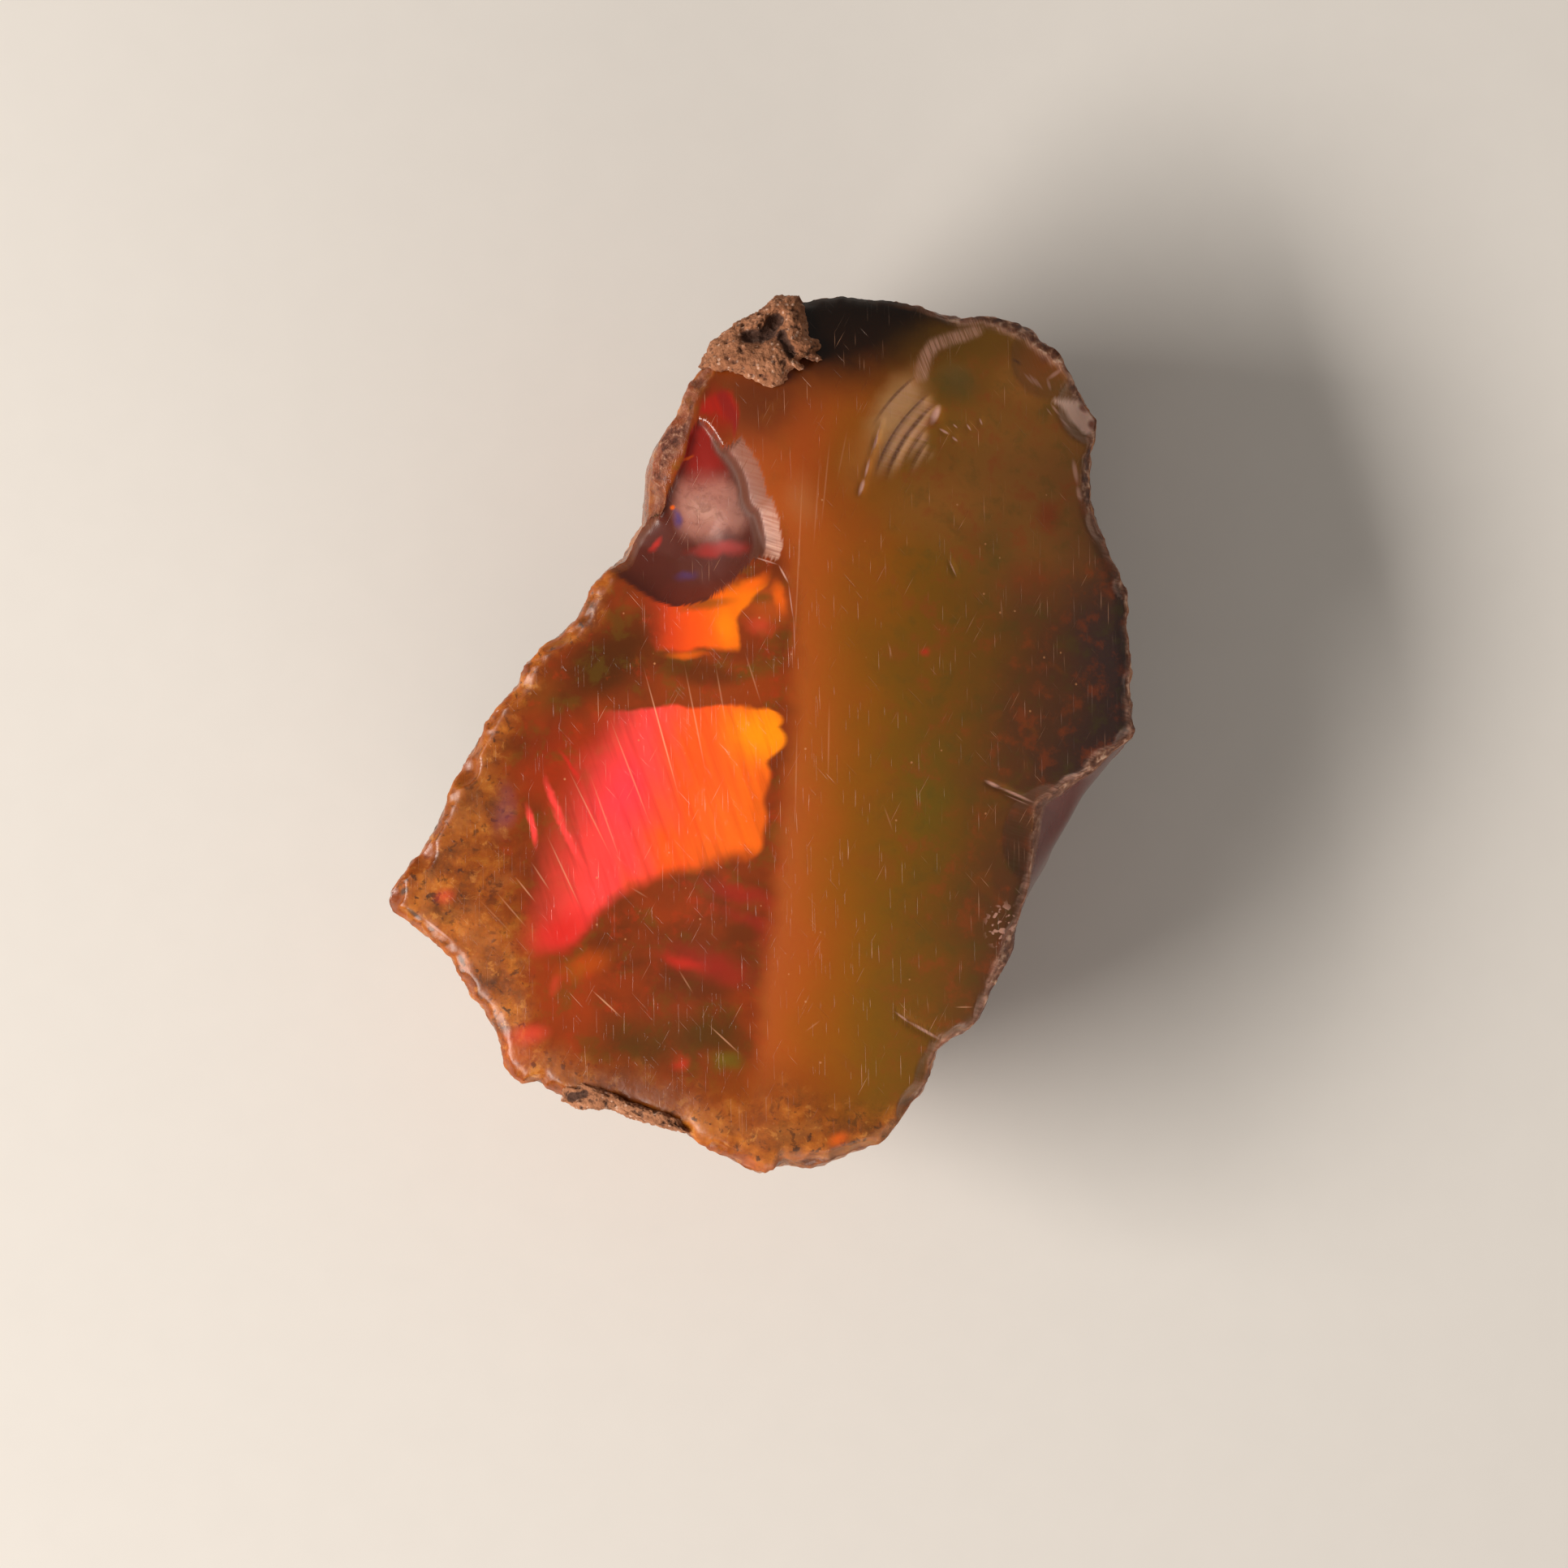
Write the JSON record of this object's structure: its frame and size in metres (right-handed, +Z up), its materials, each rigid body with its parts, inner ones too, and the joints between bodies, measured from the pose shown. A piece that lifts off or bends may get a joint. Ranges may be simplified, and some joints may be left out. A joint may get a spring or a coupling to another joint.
{
  "type": "rough opal specimen",
  "caption": "Rough chunk of precious opal with a broad shell-shaped fracture face, a crumbly natural rim and remnants of host rock.",
  "frame": {"origin": "on the surface that the stone rests on, under the middle of its outline", "axes": "+Z up, out of the broad fracture face; +Y along the stone's length, towards the end with the larger remnant of host rock; +X to the right, seen from above"},
  "size_m": [0.0192, 0.0226, 0.0091],
  "materials": {
    "precious_opal": "gloss",
    "host_rock": "matte"
  },
  "bodies": {
    "root": {"opal_body": "precious_opal", "host_rock_cap": "host_rock", "host_rock_seam": "host_rock"}
  },
  "joints": []
}
